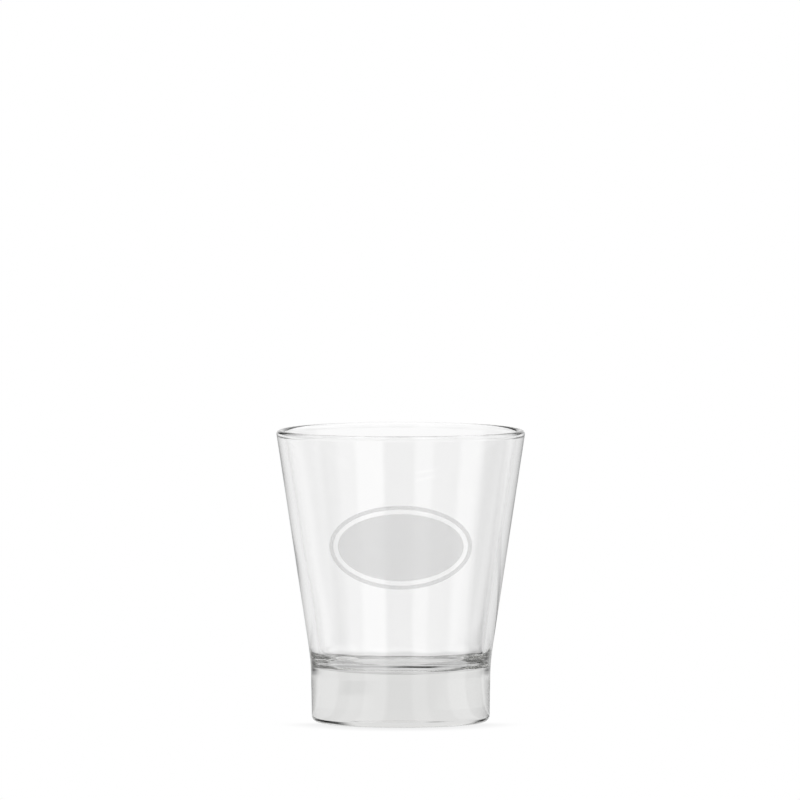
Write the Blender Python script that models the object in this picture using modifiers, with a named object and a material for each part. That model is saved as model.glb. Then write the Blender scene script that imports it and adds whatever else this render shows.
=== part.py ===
"""Espresso glass: a conical tumbler of clear glass on a thick foot, with a satin oval printed on its front.

Metres, +Z up. The origin is the middle of the resting plane under the foot, and the print faces -Y.
"""

import math

import bpy
from mathutils import Vector

# Overall form
HEIGHT = 0.0660
RIM_DIAMETER = 0.0560
LIP_THICKNESS = 0.0018

# Foot: a short, slightly drafted cylinder that bends softly into the conical wall
FOOT_DIAMETER = 0.0405
FOOT_HEIGHT = 0.0135
FOOT_DRAFT_DEG = 0.95
BEND_RADIUS = 0.050
FOOT_EDGE_RADIUS = 0.0011

# Underside: a flat bearing ring round a shallow domed recess
BEARING_WIDTH = 0.0030
RECESS_DEPTH = 0.0008

# Inside: a straight wall, a round corner and a dished floor over the solid base
BASE_THICKNESS = 0.0115
FLOOR_WALL_THICKNESS = 0.0026
FLOOR_CORNER_RADIUS = 0.0050
FLOOR_DISH_RADIUS = 0.110

# Satin print: an oval field inside a thin oval line, centred on the front of the conical wall
PRINT_WIDTH = 0.0320
PRINT_HEIGHT = 0.0190
PRINT_LINE_WIDTH = 0.0009
PRINT_LINE_SPACING = 0.0010
PRINT_THICKNESS = 0.00010
PRINT_CLEARANCE = 0.00005

# Fineness of the facets
TURN_STEPS = 72
OVAL_STEPS = 64
LIP_STEPS = 10
BEND_STEPS = 5
FOOT_EDGE_STEPS = 5
RECESS_STEPS = 4
CORNER_STEPS = 7
FLOOR_STEPS = 4
SMOOTH_BELOW_DEG = 30.0
WELD_DISTANCE = 0.000001

# Finishes, as linear colours
GLASS_COLOUR = (0.96, 0.97, 0.96, 1.0)
GLASS_ROUGHNESS = 0.0
GLASS_REFRACTION = 1.52
PRINT_COLOUR = (0.72, 0.72, 0.72, 1.0)
PRINT_ROUGHNESS = 0.6


def clear_scene():
    """Remove every object that the startup scene holds."""
    for existing in list(bpy.data.objects):
        bpy.data.objects.remove(existing)


def new_collection(name):
    """A collection linked to the scene."""
    collection = bpy.data.collections.new(name)
    bpy.context.scene.collection.children.link(collection)
    return collection


def move_to(collection, piece):
    """Put an object in one collection only."""
    for other in list(piece.users_collection):
        other.objects.unlink(piece)
    collection.objects.link(piece)


def new_material(name, colour, roughness, transmission, refraction):
    """A Principled material."""
    material = bpy.data.materials.new(name)
    material.use_nodes = True
    shader = material.node_tree.nodes["Principled BSDF"]
    shader.inputs["Base Color"].default_value = colour
    shader.inputs["Roughness"].default_value = roughness
    shader.inputs["Metallic"].default_value = 0.0
    shader.inputs["Transmission Weight"].default_value = transmission
    shader.inputs["IOR"].default_value = refraction
    return material


# Profile geometry. A point is a Vector of (radius, height) in the plane that is turned about Z.


def point(radius, height):
    """A point of the turned profile."""
    return Vector((radius, height))


def arc(centre, start, end, steps):
    """Points from start to end along the shorter way round a centre."""
    first = start - centre
    turn = first.angle_signed(end - centre)
    points = []
    for step in range(steps + 1):
        angle = -turn * step / steps
        cosine, sine = math.cos(angle), math.sin(angle)
        points.append(centre + point(first.x * cosine - first.y * sine, first.x * sine + first.y * cosine))
    return points


def fillet(before, corner, after, radius, steps):
    """The arc that rounds the corner between two straight runs."""
    arriving = (corner - before).normalized()
    leaving = (after - corner).normalized()
    half_turn = arriving.angle(leaving) / 2
    setback = radius * math.tan(half_turn)
    centre = corner + (leaving - arriving).normalized() * radius / math.cos(half_turn)
    return arc(centre, corner - arriving * setback, corner + leaving * setback, steps)


def tangent_point(centre, radius, outside, side):
    """Where a line from an outside point touches a circle. Side 1 is the touch at greater radius, -1 at smaller."""
    away = outside - centre
    angle = side * math.acos(radius / away.length)
    cosine, sine = math.cos(angle), math.sin(angle)
    return centre + point(away.x * cosine - away.y * sine, away.x * sine + away.y * cosine) * radius / away.length


def foot_line_radius(height):
    """Outer radius of the drafted foot at a height."""
    return FOOT_DIAMETER / 2 - (FOOT_HEIGHT - height) * math.tan(math.radians(FOOT_DRAFT_DEG))


def lip_centre():
    """Centre of the half circle that rounds the lip."""
    return point(RIM_DIAMETER / 2 - LIP_THICKNESS / 2, HEIGHT - LIP_THICKNESS / 2)


def wall_top():
    """Where the straight outer wall runs into the lip."""
    return tangent_point(lip_centre(), LIP_THICKNESS / 2, bend_corner(), 1)


def bend_corner():
    """Where the lines of the foot and of the conical wall would meet."""
    return point(FOOT_DIAMETER / 2, FOOT_HEIGHT)


def wall_bottom():
    """Where the straight outer wall runs into the bend above the foot."""
    return outer_bend()[0]


def outer_bend():
    """The soft bend from the conical wall into the foot, from its top down."""
    return fillet(wall_top(), bend_corner(), point(foot_line_radius(0), 0), BEND_RADIUS, BEND_STEPS)


def wall_line_radius(height):
    """Outer radius of the conical wall at a height."""
    top, corner = wall_top(), bend_corner()
    return corner.x + (height - corner.y) * (top.x - corner.x) / (top.y - corner.y)


def outer_radius(height):
    """Outer radius of the foot or of the wall above it, without the bend."""
    if height < FOOT_HEIGHT:
        return foot_line_radius(height)
    return wall_line_radius(height)


def inner_corner():
    """The inside of the wall at the height of the floor."""
    return point(outer_radius(BASE_THICKNESS) - FLOOR_WALL_THICKNESS, BASE_THICKNESS)


def inner_wall_top():
    """Where the straight inner wall runs into the lip."""
    return tangent_point(lip_centre(), LIP_THICKNESS / 2, inner_corner(), -1)


def floor_curve():
    """The dished floor from the axis outwards and the round corner up into the wall."""
    dish_centre = point(0, BASE_THICKNESS + FLOOR_DISH_RADIUS)
    along = (inner_wall_top() - inner_corner()).normalized()
    inward = point(-along.y, along.x)
    start = inner_corner() + inward * FLOOR_CORNER_RADIUS
    reach = FLOOR_DISH_RADIUS - FLOOR_CORNER_RADIUS
    offset = start - dish_centre
    slope = offset.dot(along)
    travel = -slope - math.sqrt(slope * slope - offset.length_squared + reach * reach)
    corner_centre = start + along * travel
    on_wall = corner_centre - inward * FLOOR_CORNER_RADIUS
    on_floor = dish_centre + (corner_centre - dish_centre).normalized() * FLOOR_DISH_RADIUS
    floor = arc(dish_centre, point(0, BASE_THICKNESS), on_floor, FLOOR_STEPS)
    return floor[:-1] + arc(corner_centre, on_floor, on_wall, CORNER_STEPS)


def lip_curve():
    """The rounded lip, from the inside over the top to the outside."""
    centre, radius = lip_centre(), LIP_THICKNESS / 2
    crown = centre + point(0, radius)
    inner = arc(centre, inner_wall_top(), crown, LIP_STEPS // 2)
    return inner[:-1] + arc(centre, crown, wall_top(), LIP_STEPS // 2)


def bearing_radii():
    """Outer and inner radius of the flat ring that the glass stands on."""
    outer = foot_edge()[-1].x
    return outer, outer - BEARING_WIDTH


def foot_edge():
    """The rounded edge from the foot's side to its underside."""
    corner = point(foot_line_radius(0), 0)
    return fillet(bend_corner(), corner, point(0, 0), FOOT_EDGE_RADIUS, FOOT_EDGE_STEPS)


def recess_curve():
    """The domed recess, from the bearing ring in to the axis."""
    rim = point(bearing_radii()[1], 0)
    dome_radius = (rim.x**2 + RECESS_DEPTH**2) / (2 * RECESS_DEPTH)
    centre = point(0, RECESS_DEPTH - dome_radius)
    return arc(centre, rim, point(0, RECESS_DEPTH), RECESS_STEPS)


def glass_profile():
    """The whole section, from the middle of the floor over the lip and down to the middle of the underside."""
    return floor_curve() + lip_curve() + outer_bend() + foot_edge() + recess_curve()


def print_skin_profile():
    """The closed section of a thin skin round the straight part of the wall, just clear of it."""
    low, high = wall_bottom(), wall_top()
    along = (high - low).normalized()
    outward = point(along.y, -along.x)
    inner, outer = outward * PRINT_CLEARANCE, outward * (PRINT_CLEARANCE + PRINT_THICKNESS)
    return [high + outer, low + outer, low + inner, high + inner]


# Pieces


def turned(name, profile, closed):
    """An object turned about Z from a profile that runs down its outer side."""
    count = len(profile)
    edges = [(i, i + 1) for i in range(count - 1)]
    if closed:
        edges.append((count - 1, 0))
    mesh = bpy.data.meshes.new(name)
    mesh.from_pydata([(p.x, 0, p.y) for p in profile], edges, [])
    piece = bpy.data.objects.new(name, mesh)
    bpy.context.scene.collection.objects.link(piece)
    screw = piece.modifiers.new("Turn", "SCREW")
    screw.axis = "Z"
    screw.angle = math.tau
    screw.steps = screw.render_steps = TURN_STEPS
    screw.use_merge_vertices = True
    screw.merge_threshold = WELD_DISTANCE
    screw.use_smooth_shade = True
    return piece


def oval_cutter(name, width, height, collection):
    """An oval prism from the axis out through the front of the wall."""
    centre_height = (wall_bottom().y + wall_top().y) / 2
    length = RIM_DIAMETER
    bpy.ops.mesh.primitive_cylinder_add(
        vertices=OVAL_STEPS,
        radius=0.5,
        depth=length,
        location=(0, -length / 2, centre_height),
        rotation=(math.pi / 2, 0, 0),
    )
    cutter = bpy.context.object
    cutter.name = name
    cutter.scale = (width, height, 1)
    cutter.hide_render = True
    cutter.display_type = "WIRE"
    move_to(collection, cutter)
    return cutter


def trim(piece, cutter, operation):
    """Add a Boolean modifier."""
    boolean = piece.modifiers.new(cutter.name, "BOOLEAN")
    boolean.operation = operation
    boolean.solver = "EXACT"
    boolean.object = cutter


def settle(piece):
    """Replace a trimmed piece by its evaluated mesh, smooth but for its cut edges."""
    graph = bpy.context.evaluated_depsgraph_get()
    mesh = bpy.data.meshes.new_from_object(piece.evaluated_get(graph))
    piece.modifiers.clear()
    piece.data = mesh
    mesh.name = piece.name
    mesh.shade_smooth()
    mesh.set_sharp_from_angle(angle=math.radians(SMOOTH_BELOW_DEG))


def make_glass_body(material):
    """The one piece of glass: bowl, lip, solid base and foot."""
    body = turned("glass_body", glass_profile(), closed=False)
    body.data.materials.append(material)
    return body


def make_print_line(material, cutters):
    """The thin oval line round the printed field."""
    line = turned("satin_line", print_skin_profile(), closed=True)
    inset = 2 * PRINT_LINE_WIDTH
    outer = oval_cutter("line_outside", PRINT_WIDTH, PRINT_HEIGHT, cutters)
    inner = oval_cutter("line_inside", PRINT_WIDTH - inset, PRINT_HEIGHT - inset, cutters)
    trim(line, outer, "INTERSECT")
    trim(line, inner, "DIFFERENCE")
    settle(line)
    line.data.materials.clear()
    line.data.materials.append(material)
    return line


def make_print_field(material, cutters):
    """The plain oval field of the print."""
    field = turned("satin_field", print_skin_profile(), closed=True)
    inset = 2 * (PRINT_LINE_WIDTH + PRINT_LINE_SPACING)
    trim(field, oval_cutter("field_outside", PRINT_WIDTH - inset, PRINT_HEIGHT - inset, cutters), "INTERSECT")
    settle(field)
    field.data.materials.clear()
    field.data.materials.append(material)
    return field


def main():
    """Build the glass."""
    clear_scene()
    parts = new_collection("espresso_glass")
    cutters = new_collection("cutters")
    clear_glass = new_material("clear_glass", GLASS_COLOUR, GLASS_ROUGHNESS, 1.0, GLASS_REFRACTION)
    satin_enamel = new_material("satin_enamel", PRINT_COLOUR, PRINT_ROUGHNESS, 0.0, GLASS_REFRACTION)
    frame = bpy.data.objects.new("espresso_glass_frame", None)
    parts.objects.link(frame)
    for piece in (
        make_glass_body(clear_glass),
        make_print_line(satin_enamel, cutters),
        make_print_field(satin_enamel, cutters),
    ):
        move_to(parts, piece)
        piece.parent = frame


main()
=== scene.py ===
"""Looks of the espresso glass: clear glass, a satin print, a white floor and the studio round them.

Metres, +Z up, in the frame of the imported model. The print faces -Y, where the camera stands.
"""

import logging
import math
from dataclasses import dataclass, field
from enum import Enum

import bpy
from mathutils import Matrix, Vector


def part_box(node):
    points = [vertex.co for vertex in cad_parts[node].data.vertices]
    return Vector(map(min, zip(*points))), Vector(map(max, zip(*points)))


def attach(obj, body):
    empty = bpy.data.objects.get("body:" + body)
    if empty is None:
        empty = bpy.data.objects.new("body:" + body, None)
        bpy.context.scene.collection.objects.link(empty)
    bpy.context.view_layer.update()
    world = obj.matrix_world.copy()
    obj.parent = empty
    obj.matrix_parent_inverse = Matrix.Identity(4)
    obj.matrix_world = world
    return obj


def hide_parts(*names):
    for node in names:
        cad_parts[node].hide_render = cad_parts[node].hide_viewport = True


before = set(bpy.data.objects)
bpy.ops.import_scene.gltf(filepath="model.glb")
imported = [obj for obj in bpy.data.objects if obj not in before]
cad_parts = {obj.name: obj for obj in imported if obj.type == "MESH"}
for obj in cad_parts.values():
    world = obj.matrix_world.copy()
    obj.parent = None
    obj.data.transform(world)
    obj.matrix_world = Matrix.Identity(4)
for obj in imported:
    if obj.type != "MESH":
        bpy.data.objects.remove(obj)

log = logging.getLogger("espresso_glass")

DEGREES = 180.0 / math.pi
BODY = "root"
NOISE_MIDDLE = 0.5

# A distance that is farther than the floor reaches
PAST_FLOOR = 20.0

# The Mix node's sockets for colours go by number, because their names repeat
MIX_FACTOR = 0
MIX_LOW = 6
MIX_HIGH = 7
MIX_COLOUR = 2

# A rise is a smooth step's start and end. A band is its low edge, its high edge and their softness.
Colour = tuple[float, float, float, float]
Rise = tuple[float, float]
Band = tuple[float, float, float]


class Slot(Enum):
    """The record's material slots."""

    CLEAR_GLASS = "clear_glass"
    SATIN_ENAMEL = "satin_enamel"


class Node(Enum):
    """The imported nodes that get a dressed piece."""

    GLASS_BODY = "glass_body"
    SATIN_LINE = "satin_line"
    SATIN_FIELD = "satin_field"


class Sight(Enum):
    """Which rays see a thing, by how often they have been mirrored: it fades in between two counts."""

    ANY = (-1.0, 0.0)
    MIRRORED = (0.0, 1.0)
    TRAPPED = (4.0, 7.0)


# Shader graphs as expressions


class Signal:
    """A shader socket that can be used in Python expressions."""

    def __init__(self, graph: "Graph", socket: bpy.types.NodeSocket) -> None:
        """Wrap an output socket of a graph."""
        self.graph = graph
        self.socket = socket

    def _math(self, operation: str, first: "Value", second: "Value") -> "Signal":
        """A Math node on two values."""
        return self.graph.add("Math", {"operation": operation}, {0: first, 1: second})["Value"]

    def __add__(self, other: "Value") -> "Signal":
        """Sum."""
        return self._math("ADD", self, other)

    def __radd__(self, other: "Value") -> "Signal":
        """Sum, with the number first."""
        return self._math("ADD", other, self)

    def __sub__(self, other: "Value") -> "Signal":
        """Difference."""
        return self._math("SUBTRACT", self, other)

    def __rsub__(self, other: "Value") -> "Signal":
        """Difference, with the number first."""
        return self._math("SUBTRACT", other, self)

    def __mul__(self, other: "Value") -> "Signal":
        """Product."""
        return self._math("MULTIPLY", self, other)

    def __rmul__(self, other: "Value") -> "Signal":
        """Product, with the number first."""
        return self._math("MULTIPLY", other, self)

    def __pow__(self, other: "Value") -> "Signal":
        """Power."""
        return self._math("POWER", self, other)

    def __or__(self, other: "Value") -> "Signal":
        """The greater of two values."""
        return self._math("MAXIMUM", self, other)

    def __abs__(self) -> "Signal":
        """Size without sign."""
        return self._math("ABSOLUTE", self, 0.0)

    def over(self, other: "Signal") -> "Signal":
        """The angle whose tangent is this value over the other, in radians."""
        return self._math("ARCTAN2", self, other)

    def rise(self, low: float, high: float) -> "Signal":
        """A smooth step from 0 at low to 1 at high."""
        sockets = {"Value": self, "From Min": low, "From Max": high}
        return self.graph.add("MapRange", {"interpolation_type": "SMOOTHSTEP"}, sockets)["Result"]

    def between(self, low: float, high: float, soft: float) -> "Signal":
        """A band that is 1 from low to high, with edges that are soft on either side of each."""
        return self.rise(low - soft, low + soft) * (1 - self.rise(high - soft, high + soft))


Value = Signal | float | tuple[float, ...]


class Made:
    """A node that a graph has added."""

    def __init__(self, graph: "Graph", node: bpy.types.Node) -> None:
        """Wrap a node of a graph."""
        self.graph = graph
        self.node = node

    def __getitem__(self, output: str | int) -> Signal:
        """One of its outputs, by name or number."""
        return Signal(self.graph, self.node.outputs[output])


class Graph:
    """A node tree that is filled by expressions."""

    def __init__(self, tree: bpy.types.NodeTree) -> None:
        """Empty a node tree for use."""
        self.tree = tree
        tree.nodes.clear()

    def add(
        self,
        kind: str,
        settings: dict[str, object] | None = None,
        sockets: dict[str | int, Value] | None = None,
    ) -> Made:
        """Add a node.

        Args:
            kind: The node's type, without its ShaderNode prefix.
            settings: Its properties, set before its sockets.
            sockets: Numbers, colours or signals for its inputs, by name or number.

        Returns:
            The node.
        """
        node = self.tree.nodes.new("ShaderNode" + kind)
        for name, value in (settings or {}).items():
            setattr(node, name, value)
        for name, value in (sockets or {}).items():
            if isinstance(value, Signal):
                self.tree.links.new(value.socket, node.inputs[name])
            else:
                node.inputs[name].default_value = value
        return Made(self, node)

    def noise(self, place: Signal, scale: float, detail: float, roughness: float = 0.5) -> Signal:
        """Fractal noise from 0 to 1 at a place."""
        sockets = {"Vector": place, "Scale": scale, "Detail": detail, "Roughness": roughness}
        return self.add("TexNoise", {}, sockets)["Fac"]

    def blend(self, factor: Value, low: Value, high: Value) -> Signal:
        """Two colours mixed by a factor."""
        sockets = {MIX_FACTOR: factor, MIX_LOW: low, MIX_HIGH: high}
        return self.add("Mix", {"data_type": "RGBA"}, sockets)[MIX_COLOUR]

    def object_place(self) -> Signal:
        """Where a surface point lies on its object, in metres."""
        return self.add("TexCoord")["Object"]

    def split(self, vector: Signal) -> tuple[Signal, Signal, Signal]:
        """The three parts of a vector."""
        parts = self.add("SeparateXYZ", {}, {"Vector": vector})
        return parts["X"], parts["Y"], parts["Z"]


def new_material(name: str) -> tuple[bpy.types.Material, Graph]:
    """A material with an empty graph.

    Args:
        name: The material's name.

    Returns:
        The material and its graph.
    """
    material = bpy.data.materials.new(name)
    material.use_nodes = True
    return material, Graph(material.node_tree)


# Finishes


@dataclass(frozen=True)
class ClearGlass:
    """Fire-polished soda-lime glass: faintly green and grey in its depth, scuffed where it stands."""

    name: str = "clear_glass"
    refraction: float = 1.52
    tint: Colour = (0.70, 0.70, 0.69, 1.0)
    density: float = 24.6
    ripple_scale: float = 55.0
    ripple_detail: float = 1.0
    ripple_depth: float = 0.000006
    scuff_height: float = 0.00012
    scuff_roughness: float = 0.05
    scuff_least: float = 0.4
    scratch_scale: float = 900.0
    scratch_detail: float = 3.0
    scratch_edge: Rise = (0.35, 0.65)
    film_scale: float = 130.0
    film_detail: float = 2.0
    film: Colour = (0.985, 0.985, 0.985, 1.0)
    clean: Colour = (1.0, 1.0, 1.0, 1.0)

    def material(self) -> bpy.types.Material:
        """Build the material.

        Returns:
            The material.
        """
        material, graph = new_material(self.name)
        place = graph.object_place()
        height = graph.split(place)[2]
        scratches = graph.noise(place, self.scratch_scale, self.scratch_detail).rise(*self.scratch_edge)
        worn = self.scuff_least + (1 - self.scuff_least) * scratches
        scuff = (1 - height.rise(0.0, self.scuff_height)) * worn
        ripple = graph.noise(place, self.ripple_scale, self.ripple_detail)
        bump = graph.add("Bump", {}, {"Strength": 1.0, "Distance": self.ripple_depth, "Height": ripple})
        wiped = graph.noise(place, self.film_scale, self.film_detail)
        surface = graph.add(
            "BsdfPrincipled",
            {},
            {
                "Base Color": graph.blend(wiped, self.film, self.clean),
                "Roughness": scuff * self.scuff_roughness,
                "IOR": self.refraction,
                "Transmission Weight": 1.0,
                "Normal": bump["Normal"],
            },
        )
        depth = graph.add("VolumeAbsorption", {}, {"Color": self.tint, "Density": self.density})
        graph.add("OutputMaterial", {}, {"Surface": surface["BSDF"], "Volume": depth["Volume"]})
        return material


@dataclass(frozen=True)
class SatinEnamel:
    """Fired-on frost: a fine, even grain that lets part of the background through."""

    name: str = "satin_enamel"
    pale: Colour = (0.86, 0.86, 0.86, 1.0)
    dim: Colour = (0.80, 0.80, 0.80, 1.0)
    grain_scale: float = 5200.0
    grain_detail: float = 2.0
    grain_harshness: float = 0.6
    grain_strength: float = 0.35
    grain_depth: float = 0.00002
    cloud_scale: float = 260.0
    cloud_detail: float = 3.0
    cloud_edge: Rise = (0.3, 0.7)
    cloud_share: float = 0.6
    least_roughness: float = 0.5
    grain_roughness: float = 0.2
    cover: float = 0.20
    grain_cover: float = 0.08
    cloud_cover: float = 0.05

    def material(self) -> bpy.types.Material:
        """Build the material.

        Returns:
            The material.
        """
        material, graph = new_material(self.name)
        place = graph.object_place()
        grain = graph.noise(place, self.grain_scale, self.grain_detail, self.grain_harshness)
        cloud = graph.noise(place, self.cloud_scale, self.cloud_detail)
        tone = self.cloud_share * cloud.rise(*self.cloud_edge) + (1 - self.cloud_share) * grain
        relief = {"Strength": self.grain_strength, "Distance": self.grain_depth, "Height": grain}
        bump = graph.add("Bump", {}, relief)
        uneven = self.grain_cover * (grain - NOISE_MIDDLE) + self.cloud_cover * (cloud - NOISE_MIDDLE)
        surface = graph.add(
            "BsdfPrincipled",
            {},
            {
                "Base Color": graph.blend(tone, self.dim, self.pale),
                "Roughness": self.least_roughness + self.grain_roughness * grain,
                "Alpha": self.cover + uneven,
                "Normal": bump["Normal"],
            },
        )
        graph.add("OutputMaterial", {}, {"Surface": surface["BSDF"]})
        return material


@dataclass(frozen=True)
class Spot:
    """A place on the floor: its bearing from the camera's side and its distance from the foot's axis."""

    bearing: Signal
    distance: Signal


@dataclass(frozen=True)
class MirrorGlowPatch:
    """A painted reflection: a pale patch that the floor glows with, seen only as a mirror image in the
    glass.

    Bearings are from the camera's side, to the camera's right, in degrees.
    """

    left: float
    right: float
    level: float
    soft: float = 3.0


@dataclass(frozen=True)
class Zone:
    """A soft-edged zone of the floor that sends less light into the glass.

    Bearings are from the camera's side, to the camera's right, in degrees, or to either side of it.
    """

    left: float
    right: float
    turn_soft: float
    near: float
    far: float
    soft: float
    loss: float
    both_sides: bool = False

    def taken(self, spot: Spot) -> Signal:
        """The light that the zone takes.

        Args:
            spot: A place on the floor.

        Returns:
            The loss there, 0 outside the zone.
        """
        turn = abs(spot.bearing) if self.both_sides else spot.bearing
        across = turn.between(self.left, self.right, self.turn_soft)
        return self.loss * across * spot.distance.between(self.near, self.far, self.soft)


@dataclass(frozen=True)
class WhiteFloor:
    """White card: plain white to the eye, nearly so through the glass, and shaded where the foot stands.

    Inside the glass it mirrors as painted pale patches on a painted dark ground.
    """

    foot_radius: float
    name: str = "white_floor"
    paper: Colour = (0.86, 0.86, 0.86, 1.0)

    through_glass: float = 1.045
    glass_passes: Rise = (0.0, 1.0)
    bowl_passes: Rise = (2.0, 4.0)
    far_sides: Zone = Zone(55.0, 120.0, 15.0, 0.325, PAST_FLOOR, 0.125, 0.65, both_sides=True)
    bowl_shade: Zone = Zone(130.0, 250.0, 20.0, 0.028, 0.045, 0.009, 0.20, both_sides=True)
    right_shade: Zone = Zone(154.0, 168.0, 5.0, 0.115, 0.185, 0.015, 0.08)

    mirror_start: Rise = (0.022, 0.030)
    # Painted shade at the foot's corners, seen in the floor's mirror image
    corners: Band = (55.0, 84.0, 8.0)
    corner_start: Rise = (0.0196, 0.0206)
    corner_end: Rise = (0.024, 0.034)
    mirrored_back: Zone = Zone(165.0, 230.0, 20.0, 0.100, PAST_FLOOR, 0.015, 0.55, both_sides=True)
    # Painted shade: zones of the floor that look darker in the glass's outside reflections
    mirror_shade_zones: tuple[Zone, ...] = (
        Zone(-176.0, -126.0, 8.0, 0.0, 0.135, 0.010, 0.55),
        Zone(126.0, 176.0, 8.0, 0.0, 0.1235, 0.0085, 0.45),
        Zone(126.0, 176.0, 8.0, 0.205, 0.245, 0.012, 0.75),
    )
    # Painted reflections: pale patches of glow that show only in the glass's mirror images
    mirror_glow_patches: tuple[MirrorGlowPatch, ...] = (
        MirrorGlowPatch(-200.0, -118.0, 0.89),
        MirrorGlowPatch(-118.0, -80.0, 0.7),
        MirrorGlowPatch(-62.0, -44.0, 0.5),
        MirrorGlowPatch(-43.0, -16.0, 1.2),
        MirrorGlowPatch(13.0, 30.0, 0.8),
        MirrorGlowPatch(30.0, 56.0, 0.17),
        MirrorGlowPatch(57.0, 84.0, 0.95),
        MirrorGlowPatch(120.5, 200.0, 0.82),
    )

    shadow_depth: float = 0.13
    shadow_reach: float = 0.012
    shadow_ends: Rise = (60.0, 88.0)
    shadow_edge: float = 0.0004
    middle_level: float = 0.75
    middle_radius: float = 0.011
    core_loss: float = 0.08
    core_edge: Rise = (0.004, 0.009)
    ring_level: float = 0.55
    ring_radius: float = 0.016
    contact_level: float = 0.02
    contact_start: Rise = (-24.0, 16.0)
    contact_end: Rise = (34.0, 58.0)
    contact_ring: Band = (0.0132, 0.0170, 0.0008)

    def material(self) -> bpy.types.Material:
        """Build the material.

        Returns:
            The material.
        """
        material, graph = new_material(self.name)
        path = graph.add("LightPath")
        camera = path["Is Camera Ray"]
        seen = camera | path["Is Glossy Ray"] | path["Is Transmission Ray"]
        across, depth, _ = graph.split(graph.object_place())
        distance = (across * across + depth * depth) ** 0.5
        spot = Spot(across.over(0.0 - depth) * DEGREES, distance)
        level = self._through_glass(path, spot)
        level = level + self._mirror_share(path, spot) * (self._mirrored(path, spot) - level)
        level = camera + (1 - camera) * level
        card = graph.add("BsdfDiffuse", {}, {"Color": self.paper})
        glow = graph.add("Emission", {}, {"Color": level * self._shadow(spot)})
        mixed = graph.add("MixShader", {}, {0: seen, 1: card["BSDF"], 2: glow["Emission"]})
        graph.add("OutputMaterial", {}, {"Surface": mixed["Shader"]})
        return material

    def _through_glass(self, path: Made, spot: Spot) -> Signal:
        """The floor as the glass bends it into view.

        Args:
            path: The graph's Light Path node.
            spot: A place on the floor.

        Returns:
            The light that it sends.
        """
        bowl = path["Transmission Depth"].rise(*self.bowl_passes)
        level = self.through_glass - self.far_sides.taken(spot)
        return level * (1 - bowl * self.bowl_shade.taken(spot)) * (1 - self.right_shade.taken(spot))

    def _mirror_share(self, path: Made, spot: Spot) -> Signal:
        """Where the floor counts as a mirror image, which is outside the foot.

        Args:
            path: The graph's Light Path node.
            spot: A place on the floor.

        Returns:
            1 for a mirror image, 0 elsewhere.
        """
        corner = abs(spot.bearing).between(*self.corners) * spot.distance.rise(*self.corner_start)
        mirrored = path["Glossy Depth"].rise(*Sight.MIRRORED.value)
        return mirrored * (corner | spot.distance.rise(*self.mirror_start))

    def _mirrored(self, path: Made, spot: Spot) -> Signal:
        """The floor as it mirrors in the glass: painted pale patches on a painted dark ground, with painted
        shade at the foot's corners.

        Args:
            path: The graph's Light Path node.
            spot: A place on the floor.

        Returns:
            The light that it sends.
        """
        # Painted reflections: the pale patches, glowing only where the glass mirrors the floor
        mirror_glow_patches = [card.level * spot.bearing.between(card.left, card.right, card.soft) for card in self.mirror_glow_patches]
        # Painted shade for the floor as the glass's outside mirrors it
        mirror_shade = [zone.taken(spot) for zone in self.mirror_shade_zones]
        on_outside = 1 - path["Transmission Depth"].rise(*self.glass_passes)
        # Painted shade at the foot's corners
        corner = abs(spot.bearing).between(*self.corners) * (1 - spot.distance.rise(*self.corner_end))
        level = sum(mirror_glow_patches[1:], mirror_glow_patches[0]) * (1 - self.mirrored_back.taken(spot))
        return level * (1 - on_outside * sum(mirror_shade[1:], mirror_shade[0])) * (1 - corner)

    def _shadow(self, spot: Spot) -> Signal:
        """The foot's shadow: light comes through its middle, least under its ring, and it fades outside.

        Args:
            spot: A place on the floor.

        Returns:
            The share of light left.
        """
        bearing, distance = spot.bearing, spot.distance
        contact = bearing.rise(*self.contact_start) * (1 - bearing.rise(*self.contact_end))
        contact = contact * distance.between(*self.contact_ring)
        loss = self.middle_level - self.ring_level
        under = self.middle_level - loss * distance.rise(self.middle_radius, self.ring_radius)
        under = under - self.core_loss * (1 - distance.rise(*self.core_edge))
        under = under * (1 - (1 - self.contact_level) * contact)
        front = 1 - abs(bearing).rise(*self.shadow_ends)
        fade = 1 - distance.rise(self.foot_radius, self.foot_radius + self.shadow_reach)
        around = 1 - self.shadow_depth * front * fade
        outside = distance.rise(self.foot_radius - self.shadow_edge, self.foot_radius)
        return under + outside * (around - under)


# Turned outlines. A point is a Vector of (radius, height).


def point(radius: float, height: float) -> Vector:
    """A point of a turned outline."""
    return Vector((radius, height))


def rotated(vector: Vector, angle: float) -> Vector:
    """A flat vector turned anticlockwise."""
    cosine, sine = math.cos(angle), math.sin(angle)
    return point(vector.x * cosine - vector.y * sine, vector.x * sine + vector.y * cosine)


def arc(centre: Vector, start: Vector, end: Vector, steps: int) -> list[Vector]:
    """Points along the shorter way round a centre.

    Args:
        centre: Centre of the arc.
        start: First point.
        end: Last point.
        steps: Number of equal steps.

    Returns:
        The points, both ends included.
    """
    first = start - centre
    turn = -first.angle_signed(end - centre)
    return [centre + rotated(first, turn * step / steps) for step in range(steps + 1)]


def straight(start: Vector, end: Vector, steps: int) -> list[Vector]:
    """Points between two ends, without the ends."""
    return [start.lerp(end, step / steps) for step in range(1, steps)]


def fillet(before: Vector, corner: Vector, after: Vector, radius: float, steps: int) -> list[Vector]:
    """The arc that rounds the corner between two straight runs.

    Args:
        before: A point on the run that arrives.
        corner: Where the two runs would meet.
        after: A point on the run that leaves.
        radius: Radius of the arc.
        steps: Number of equal steps.

    Returns:
        The points of the arc.
    """
    arriving = (corner - before).normalized()
    leaving = (after - corner).normalized()
    half_turn = arriving.angle(leaving) / 2
    setback = radius * math.tan(half_turn)
    centre = corner + (leaving - arriving).normalized() * radius / math.cos(half_turn)
    return arc(centre, corner - arriving * setback, corner + leaving * setback, steps)


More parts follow.
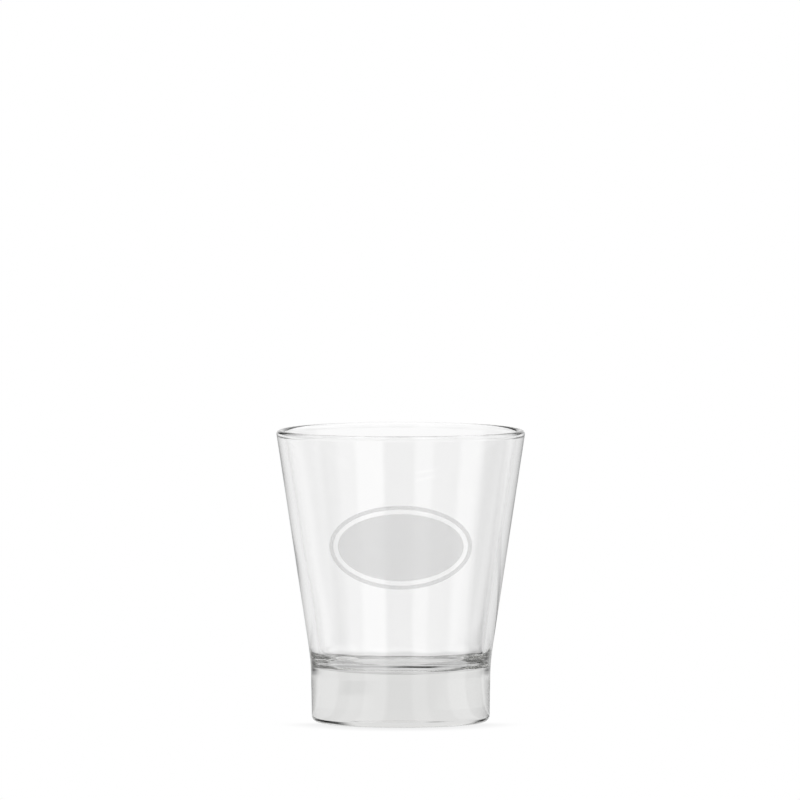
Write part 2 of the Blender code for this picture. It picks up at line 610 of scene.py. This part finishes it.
def tangent_point(centre: Vector, radius: float, outside: Vector, side: int) -> Vector:
    """Where a line from an outside point touches a circle.

    Args:
        centre: Centre of the circle.
        radius: Its radius.
        outside: A point below the circle.
        side: 1 for the touch away from the axis, -1 for the touch towards it.

    Returns:
        The touching point.
    """
    away = outside - centre
    return centre + rotated(away, side * math.acos(radius / away.length)) * radius / away.length


# The object


@dataclass
class Ripple:
    """Slow unevenness that pressing leaves in the inside of the glass."""

    height: float = 0.00001
    turns: tuple[int, ...] = (2, 3, 5, 8)
    phase_step: float = 1.7
    twist: float = 190.0
    twist_growth: float = 0.3
    fading: float = 0.35
    still_radius: float = 0.003
    still_top: float = 0.25
    floor_height: float = 0.00003
    floor_turns: int = 14
    floor_sway: float = 0.6
    floor_sway_turns: int = 3
    floor_swell: float = 0.5
    floor_swell_turns: int = 5
    floor_radius: float = 0.013
    floor_power: int = 4
    floor_top: float = 0.0145
    wall_start: float = 0.0190

    def at(self, radius: float, height: float, angle: float) -> float:
        """How far the surface stands out at a place.

        Args:
            radius: Distance from the axis.
            height: Height above the floor.
            angle: Angle round the axis.

        Returns:
            A distance along the surface's normal.
        """
        fade = min(1.0, radius / self.still_radius) ** 2
        total = 0.0
        for index, turns in enumerate(self.turns):
            phase = self.phase_step * index + self.twist * height * (1 + self.twist_growth * index)
            total += math.sin(turns * angle + phase) / (1 + self.fading * index)
        low = (self.wall_start - height) / (self.wall_start - self.floor_top)
        edge = max(0.0, min(1.0, low)) * min(1.0, radius / self.floor_radius) ** self.floor_power
        sway = self.floor_sway * math.sin(self.floor_sway_turns * angle)
        swell = self.floor_swell * math.sin(self.floor_swell_turns * angle)
        waves = math.sin(self.floor_turns * angle + sway) + swell
        return self.height * fade * total + self.floor_height * edge * waves


@dataclass
class GlassBody:
    """The one piece of glass: rounded lip, conical wall, dished floor, solid foot."""

    height: float
    rim_radius: float
    bead_radius: float = 0.0009
    neck_radius: float = 0.0003
    lip_wall: float = 0.00166
    rim_dip: float = 0.0002
    dip_power: int = 4
    foot_radius: float = 0.02024
    foot_height: float = 0.0135
    foot_draft: float = math.radians(0.95)
    bend_radius: float = 0.050
    foot_edge_radius: float = 0.00125
    back_edge_radius: float = 0.0001
    back_edge_start: float = 0.30
    back_edge_blend: float = 0.35
    bearing_width: float = 0.0030
    recess_depth: float = 0.0008
    base_thickness: float = 0.0115
    floor_wall: float = 0.0026
    floor_corner_radius: float = 0.0050
    floor_dish_radius: float = 0.110
    turn_steps: int = 256
    wall_steps: int = 36
    round_steps: int = 24
    crown_steps: int = 32
    neck_steps: int = 16
    bend_steps: int = 16
    foot_steps: int = 8
    edge_steps: int = 12
    ring_steps: int = 4
    recess_steps: int = 20
    ripple: Ripple = field(default_factory=Ripple)
    finish: ClearGlass = field(default_factory=ClearGlass)

    def bead_centre(self) -> Vector:
        """Centre of the bead that rounds the lip."""
        return point(self.rim_radius - self.bead_radius, self.height - self.bead_radius)

    def bend_corner(self) -> Vector:
        """Where the lines of the foot and of the wall would meet."""
        return point(self.foot_radius, self.foot_height)

    def foot_bottom(self) -> Vector:
        """Where the line of the foot would meet the resting plane."""
        return point(self.foot_radius - self.foot_height * math.tan(self.foot_draft), 0.0)

    def wall_top(self) -> Vector:
        """Where the outer wall runs into the bead."""
        return tangent_point(self.bead_centre(), self.bead_radius, self.bend_corner(), 1)

    def wall_radius(self, height: float) -> float:
        """Outer radius of the conical wall at a height."""
        top, corner = self.wall_top(), self.bend_corner()
        return corner.x + (height - corner.y) * (top.x - corner.x) / (top.y - corner.y)

    def outer_radius(self, height: float) -> float:
        """Outer radius of the foot or of the wall above it, without the bend.

        Args:
            height: Height above the resting plane.

        Returns:
            The radius.
        """
        if height < self.foot_height:
            return self.foot_radius - (self.foot_height - height) * math.tan(self.foot_draft)
        return self.wall_radius(height)

    def wall_lean(self) -> float:
        """Angle of the outer wall from upright."""
        run = self.wall_top() - self.bend_corner()
        return math.atan2(run.x, run.y)

    def bend(self) -> list[Vector]:
        """The bend from the wall down into the foot."""
        ends = self.wall_top(), self.bend_corner(), self.foot_bottom()
        return fillet(*ends, self.bend_radius, self.bend_steps)

    def print_height(self) -> float:
        """Height of the middle of the straight wall, where the print is centred."""
        return (self.wall_top().y + self.bend()[0].y) / 2

    def inner_corner(self) -> Vector:
        """The inside of the wall at the height of the floor."""
        return point(self.outer_radius(self.base_thickness) - self.floor_wall, self.base_thickness)

    def neck_centre(self) -> Vector:
        """Centre of the hollow round that leads from the inner wall into the bead.

        Returns:
            The centre.
        """
        along = (self.wall_top() - self.bend_corner()).normalized()
        inward = point(-along.y, along.x)
        reach = self.bead_radius + self.neck_radius
        across = self.lip_wall + self.neck_radius
        down = math.sqrt(reach**2 - (across - self.bead_radius) ** 2)
        return self.wall_top() - along * down + inward * across

    def inner_wall_top(self) -> Vector:
        """Where the inner wall runs into the neck under the bead."""
        along = (self.wall_top() - self.bend_corner()).normalized()
        return self.neck_centre() + point(along.y, -along.x) * self.neck_radius

    def inside(self) -> list[Vector]:
        """The outline from the middle of the floor up to the lip.

        Returns:
            Its points: the dished floor, its round corner and the inner wall.
        """
        dish = point(0.0, self.base_thickness + self.floor_dish_radius)
        along = (self.inner_wall_top() - self.inner_corner()).normalized()
        inward = point(-along.y, along.x)
        start = self.inner_corner() + inward * self.floor_corner_radius
        reach = self.floor_dish_radius - self.floor_corner_radius
        offset = start - dish
        slope = offset.dot(along)
        travel = -slope - math.sqrt(slope * slope - offset.length_squared + reach * reach)
        corner = start + along * travel
        on_wall = corner - inward * self.floor_corner_radius
        on_floor = dish + (corner - dish).normalized() * self.floor_dish_radius
        floor = arc(dish, point(0.0, self.base_thickness), on_floor, self.round_steps)
        rounding = arc(corner, on_floor, on_wall, self.round_steps)
        return floor[:-1] + rounding + straight(on_wall, self.inner_wall_top(), self.wall_steps)

    def lip(self) -> list[Vector]:
        """The neck and the bead, from the inside over the crown to the outside.

        Returns:
            Their points.
        """
        bead, neck = self.bead_centre(), self.neck_centre()
        touch = bead + (neck - bead).normalized() * self.bead_radius
        crown = bead + point(0.0, self.bead_radius)
        hollow = arc(neck, self.inner_wall_top(), touch, self.neck_steps)
        inner = arc(bead, touch, crown, self.crown_steps)
        return hollow[:-1] + inner[:-1] + arc(bead, crown, self.wall_top(), self.round_steps)

    def outside(self, edge_radius: float) -> list[Vector]:
        """The outline from below the lip to the middle of the underside.

        Args:
            edge_radius: Radius of the foot's bottom edge.

        Returns:
            Its points.
        """
        bend = self.bend()
        edge = fillet(self.bend_corner(), self.foot_bottom(), point(0.0, 0.0), edge_radius, self.edge_steps)
        ring = point(self.foot_bottom().x - self.foot_edge_radius - self.bearing_width, 0.0)
        dome = (ring.x**2 + self.recess_depth**2) / (2 * self.recess_depth)
        top = point(0.0, self.recess_depth)
        recess = arc(point(0.0, self.recess_depth - dome), ring, top, self.recess_steps)
        wall = straight(self.wall_top(), bend[0], self.wall_steps)
        foot = straight(bend[-1], edge[0], self.foot_steps)
        bearing = straight(edge[-1], ring, self.ring_steps)
        return wall + bend + foot + edge + bearing + recess

    def edge_radius(self, angle: float) -> float:
        """Radius of the foot's bottom edge, which is sharper at the back.

        Args:
            angle: Angle round the axis.

        Returns:
            The radius there.
        """
        share = (self.back_edge_start - math.sin(angle)) / self.back_edge_blend
        share = max(0.0, min(1.0, share))
        share = share * share * (3 - 2 * share)
        return self.back_edge_radius + share * (self.foot_edge_radius - self.back_edge_radius)

    def build(self) -> bpy.types.Object:
        """Make the glass and put it in place of its CAD node.

        Returns:
            The dressed piece.
        """
        mesh = bpy.data.meshes.new("clear_glass_body")
        points, faces = self._turned()
        mesh.from_pydata(points, [], faces)
        mesh.shade_smooth()
        mesh.materials.append(self.finish.material())
        return place_piece(mesh, Node.GLASS_BODY)

    def _turned(self) -> tuple[list[Vector], list[list[int]]]:
        """Turn the outline, which starts and ends on the axis.

        Returns:
            The points and the faces.
        """
        steps = self.turn_steps
        inside = self.inside()
        upper = inside + self.lip()
        outline = upper + self.outside(self.foot_edge_radius)
        columns = []
        for step in range(steps):
            columns.append(self._column(upper, len(inside), math.tau * step / steps))
        points = [Vector((0.0, 0.0, outline[0].y))]
        for index in range(len(outline) - 2):
            points += [column[index] for column in columns]
        points.append(Vector((0.0, 0.0, outline[-1].y)))
        last = len(points) - 1
        faces = []
        for step in range(steps):
            after = (step + 1) % steps
            faces.append([0, 1 + step, 1 + after])
            for ring in range(len(outline) - 3):
                low, high = 1 + ring * steps, 1 + (ring + 1) * steps
                faces.append([low + step, high + step, high + after, low + after])
            end = 1 + (len(outline) - 3) * steps
            faces.append([end + step, last, end + after])
        return points, faces

    def _column(self, upper: list[Vector], inside_count: int, angle: float) -> list[Vector]:
        """The outline at one angle, without its two ends on the axis.

        Args:
            upper: The outline from the floor's middle over the lip.
            inside_count: How many of its first points are inside the bowl, where the glass is uneven.
            angle: Angle round the axis.

        Returns:
            The points in the object's frame.
        """
        outline = upper + self.outside(self.edge_radius(angle))
        column = []
        for index, spot in enumerate(outline[1:-1], start=1):
            along = (outline[index + 1] - outline[index - 1]).normalized()
            normal = point(along.y, -along.x)
            moved = spot
            if index < inside_count:
                fade = min(1.0, (1 - index / inside_count) / self.ripple.still_top)
                moved = spot + normal * self.ripple.at(spot.x, spot.y, angle) * fade
            sag = self.rim_dip * (moved.y / self.height) ** self.dip_power * math.cos(angle) ** 2
            column.append(Vector((moved.x * math.cos(angle), moved.x * math.sin(angle), moved.y - sag)))
        return column


@dataclass
class SatinPrint:
    """The satin oval and the thin line round it, fired onto the front of the wall."""

    glass: GlassBody
    width: float
    height: float
    line_width: float = 0.0009
    line_spacing: float = 0.0010
    clearance: float = 0.00003
    thickness: float = 0.00008
    around: int = 160
    line_rings: int = 4
    field_rings: int = 40
    sharp_edge: float = math.radians(30.0)
    finish: SatinEnamel = field(default_factory=SatinEnamel)

    def build(self) -> list[bpy.types.Object]:
        """Make the field and the line.

        Returns:
            The two dressed pieces.
        """
        material = self.finish.material()
        inset = self.line_width + self.line_spacing
        line = self._skin("satin_print_line", 0.0, self.line_width, self.line_rings)
        field_skin = self._skin("satin_print_field", inset, None, self.field_rings)
        pieces = []
        for mesh, node in ((line, Node.SATIN_LINE), (field_skin, Node.SATIN_FIELD)):
            mesh.materials.append(material)
            pieces.append(place_piece(mesh, node))
        return pieces

    def _spot(self, across: float, up: float, proud: float) -> Vector:
        """A point of the print.

        Args:
            across: Distance to the right of the print's middle.
            up: Distance above it.
            proud: How far it stands off the glass.

        Returns:
            The point in the object's frame.
        """
        height = self.glass.print_height() + up
        lean = self.glass.wall_lean()
        radius = self.glass.wall_radius(height) + proud / math.cos(lean)
        return Vector((across, -math.sqrt(radius * radius - across * across), height))

    def _skin(self, name: str, outer_inset: float, line_width: float | None, rings: int) -> bpy.types.Mesh:
        """A thin closed oval skin, whole or with an oval hole.

        Args:
            name: Name of the mesh.
            outer_inset: How far its edge lies inside the print's outline.
            line_width: Width of the line, or None for a whole oval.
            rings: Number of rows of faces from the middle or the hole to the edge.

        Returns:
            The mesh.
        """
        wide, tall = self.width / 2 - outer_inset, self.height / 2 - outer_inset
        inner_wide = wide - line_width if line_width else 0.0
        inner_tall = tall - line_width if line_width else 0.0
        first = 0 if line_width else 1
        sides = (self.clearance, self.clearance + self.thickness)
        points: list[Vector] = []
        for proud in sides:
            for ring in range(first, rings + 1):
                share = ring / rings
                half_width = inner_wide + (wide - inner_wide) * share
                half_height = inner_tall + (tall - inner_tall) * share
                for step in range(self.around):
                    angle = math.tau * step / self.around
                    across, up = half_width * math.cos(angle), half_height * math.sin(angle)
                    points.append(self._spot(across, up, proud))
        layer = len(points) // 2
        faces = self._oval_faces(layer, rings + 1 - first, bool(line_width))
        if not line_width:
            points += [self._spot(0.0, 0.0, proud) for proud in sides]
            for step in range(self.around):
                after = (step + 1) % self.around
                faces.append([2 * layer, after, step])
                faces.append([2 * layer + 1, layer + step, layer + after])
        mesh = bpy.data.meshes.new(name)
        mesh.from_pydata(points, [], faces)
        mesh.shade_smooth()
        mesh.set_sharp_from_angle(angle=self.sharp_edge)
        return mesh

    def _oval_faces(self, layer: int, rows: int, hollow: bool) -> list[list[int]]:
        """Faces of the back, the front and the edges of a skin.

        Args:
            layer: Number of points in each of its two layers.
            rows: Number of point rings in a layer.
            hollow: Whether it has an inner edge too.

        Returns:
            The faces as lists of point numbers.
        """
        count = self.around
        faces = []
        for step in range(count):
            after = (step + 1) % count
            for row in range(rows - 1):
                low, high = row * count, (row + 1) * count
                faces.append([low + step, low + after, high + after, high + step])
                front = [high + step, high + after, low + after, low + step]
                faces.append([layer + number for number in front])
            edge = (rows - 1) * count
            faces.append([edge + step, edge + after, layer + edge + after, layer + edge + step])
            if hollow:
                faces.append([step, layer + step, layer + after, after])
        return faces


def place_piece(mesh: bpy.types.Mesh, node: Node) -> bpy.types.Object:
    """Put a mesh in the scene in place of a CAD node.

    Args:
        mesh: The finished mesh, which gives the piece its name.
        node: The CAD node that it stands for.

    Returns:
        The piece.
    """
    piece = bpy.data.objects.new(mesh.name, mesh)
    bpy.context.scene.collection.objects.link(piece)
    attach(piece, BODY)
    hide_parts(node.value)
    log.info("%s stands for %s: %d faces", piece.name, node.value, len(mesh.polygons))
    return piece


# The studio


@dataclass(frozen=True)
class Softbox:
    """A bright panel far off, by where it stands as seen from the glass.

    Bearings are from the camera's side, to the camera's right, in degrees.
    """

    left: float
    right: float
    bottom: float
    top: float
    radiance: float
    sight: Sight = Sight.ANY
    turn_soft: float = 4.0
    rise_soft: float = 4.0

    def light(self, bearing: Signal, rise: Signal, mirrors: Signal) -> Signal:
        """Its light in a direction.

        Args:
            bearing: Bearing of the direction.
            rise: Its angle above the horizon.
            mirrors: How often the glass has mirrored the ray.

        Returns:
            The radiance, 0 beside the panel.
        """
        panel = bearing.between(self.left, self.right, self.turn_soft)
        panel = panel * rise.between(self.bottom, self.top, self.rise_soft)
        return self.radiance * mirrors.rise(*self.sight.value) * panel


@dataclass
class Studio:
    """Floor, surroundings and camera."""

    floor_finish: WhiteFloor
    floor_side: float = 12.0
    floor_gap: float = 0.00005
    camera_distance: float = 3.6
    camera_height: float = 0.2849
    aim_height: float = 0.07256
    aim_across: float = -0.00016
    lens: float = 720.4
    sensor: float = 36.0
    far_clip: float = 50.0
    light_bounces: int = 64
    backdrop_left: Rise = (-60.0, -42.0)
    backdrop_right: Rise = (22.0, 38.0)
    left_flag: Band = (-70.0, -14.0, 4.0)
    left_flag_bottom: Rise = (3.0, 8.0)
    right_flag: Band = (22.0, 70.0, 4.0)
    right_flag_top: Rise = (21.0, 27.0)
    horizon: Band = (-62.0, 62.0, 12.0)
    horizon_top: Rise = (2.0, 7.0)
    overhead: float = 1.1
    overhead_edge: Rise = (40.0, 58.0)
    softboxes: tuple[Softbox, ...] = (
        Softbox(-90.0, 90.0, -5.0, 40.0, 0.35),
        Softbox(78.0, 150.0, 30.0, 44.0, 0.6),
        Softbox(-150.0, -78.0, 30.0, 44.0, 0.3),
        Softbox(75.0, 145.0, 12.0, 40.0, 1.0, Sight.MIRRORED, turn_soft=5.0),
        Softbox(5.0, 175.0, 6.0, 46.0, 0.9, Sight.TRAPPED, turn_soft=8.0),
    )

    def build(self) -> None:
        """Make everything."""
        self._floor()
        self._world()
        self._camera()
        bpy.context.scene.view_settings.view_transform = "Standard"
        paths = bpy.context.scene.cycles
        paths.max_bounces = self.light_bounces
        paths.glossy_bounces = self.light_bounces
        paths.transmission_bounces = self.light_bounces

    def _floor(self) -> None:
        """The white floor."""
        bpy.ops.mesh.primitive_plane_add(size=self.floor_side, location=(0.0, 0.0, -self.floor_gap))
        floor = bpy.context.object
        floor.name = "floor"
        floor.data.materials.append(self.floor_finish.material())

    def _world(self) -> None:
        """White to the camera, and to the rest a backdrop, softboxes and a pale ceiling in a dark room."""
        world = bpy.data.worlds.new("studio")
        bpy.context.scene.world = world
        world.use_nodes = True
        graph = Graph(world.node_tree)
        path = graph.add("LightPath")
        mirrors = path["Glossy Depth"]
        across, depth, up = graph.split(graph.add("TexCoord")["Generated"])
        bearing = across.over(0.0 - depth) * DEGREES
        rise = up.over((across * across + depth * depth) ** 0.5) * DEGREES
        radiance = self._backdrop(across.over(depth) * DEGREES, rise, mirrors)
        for box in self.softboxes:
            radiance = radiance + box.light(bearing, rise, mirrors)
        above = rise.rise(*self.overhead_edge)
        radiance = radiance + above * (self.overhead - radiance)
        seen = path["Is Camera Ray"]
        light = graph.add("Background", {}, {"Color": seen + (1 - seen) * radiance})
        graph.add("OutputWorld", {}, {"Surface": light["Background"]})

    def _backdrop(self, turn: Signal, rise: Signal, mirrors: Signal) -> Signal:
        """The white backdrop and horizon, with two dark flags before it that show only as mirror images.

        Args:
            turn: Bearing from straight behind the glass, to the camera's right.
            rise: Angle above the horizon.
            mirrors: How often the glass has mirrored the ray.

        Returns:
            The radiance in that direction.
        """
        flags = turn.between(*self.left_flag) * rise.rise(*self.left_flag_bottom)
        flags = flags | turn.between(*self.right_flag) * (1 - rise.rise(*self.right_flag_top))
        white = turn.rise(*self.backdrop_left) * (1 - turn.rise(*self.backdrop_right))
        white = white * (1 - mirrors.rise(*Sight.MIRRORED.value) * flags)
        return white | (1 - rise.rise(*self.horizon_top)) * turn.between(*self.horizon)

    def _camera(self) -> None:
        """A long lens at the photograph's angle."""
        data = bpy.data.cameras.new("camera")
        data.lens = self.lens
        data.sensor_width = self.sensor
        data.clip_end = self.far_clip
        camera = bpy.data.objects.new("camera", data)
        camera.location = (self.aim_across, -self.camera_distance, self.camera_height)
        aim = Vector((self.aim_across, 0.0, self.aim_height))
        camera.rotation_euler = (aim - camera.location).to_track_quat("-Z", "Y").to_euler()
        bpy.context.scene.collection.objects.link(camera)
        bpy.context.scene.camera = camera


def main() -> None:
    """Dress the glass and set up the studio."""
    logging.basicConfig(level=logging.INFO, format="%(name)s: %(message)s")
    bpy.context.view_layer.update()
    _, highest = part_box(Node.GLASS_BODY.value)
    glass = GlassBody(height=highest.z, rim_radius=highest.x)
    glass.build()
    line_low, line_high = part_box(Node.SATIN_LINE.value)
    SatinPrint(glass, width=line_high.x - line_low.x, height=line_high.z - line_low.z).build()
    foot = glass.foot_bottom().x - glass.foot_edge_radius
    Studio(WhiteFloor(foot_radius=foot)).build()


if __name__ == "__main__":
    main()
